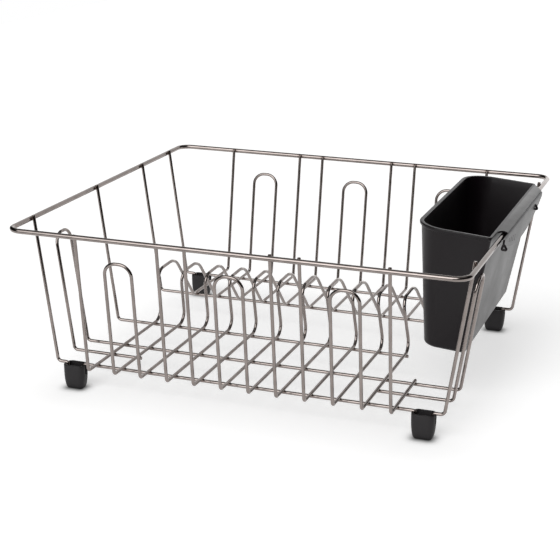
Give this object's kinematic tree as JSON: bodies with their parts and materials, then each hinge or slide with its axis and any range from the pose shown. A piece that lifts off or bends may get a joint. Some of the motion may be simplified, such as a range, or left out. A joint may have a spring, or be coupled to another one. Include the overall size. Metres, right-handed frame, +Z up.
{
  "type": "dish drying rack",
  "caption": "Wire basket dish rack with upright plate hoops, cup loops, push-on feet and a cutlery caddy that lifts off the rim.",
  "frame": {"origin": "on the table, under the middle of the whole outline with the caddy hung in place", "axes": "+X along the long rims towards the caddy, +Y to the rear, +Z up"},
  "size_m": [0.3702, 0.342, 0.1469],
  "materials": {
    "rim_wire": "polished black-nickel plate",
    "thin_wire": "polished black-nickel plate",
    "foot": "matte black",
    "caddy": "satin black moulding"
  },
  "bodies": {
    "rack": {"top_rim": "rim_wire", "front_foot_wire": "thin_wire", "cup_loop_wire": "thin_wire", "front_plate_wire": "thin_wire", "rear_plate_wire": "thin_wire", "rear_foot_wire": "thin_wire", "divider_wire_1": "thin_wire", "divider_loop_2_3": "thin_wire", "divider_wire_4": "thin_wire", "divider_wire_5": "thin_wire", "divider_loop_6_7": "thin_wire", "divider_wire_8": "thin_wire", "divider_wire_9": "thin_wire", "divider_loop_10_11": "thin_wire", "front_end_wire": "thin_wire", "rear_end_wire": "thin_wire", "foot_front_left": "foot", "foot_front_right": "foot", "foot_rear_left": "foot", "foot_rear_right": "foot"},
    "caddy": {"cutlery_caddy": "caddy"}
  },
  "joints": [
    {"name": "caddy_lift", "type": "slide", "parent": "rack", "child": "caddy", "axis": [0, 0, 1], "range_m": [0, 0.115]}
  ]
}
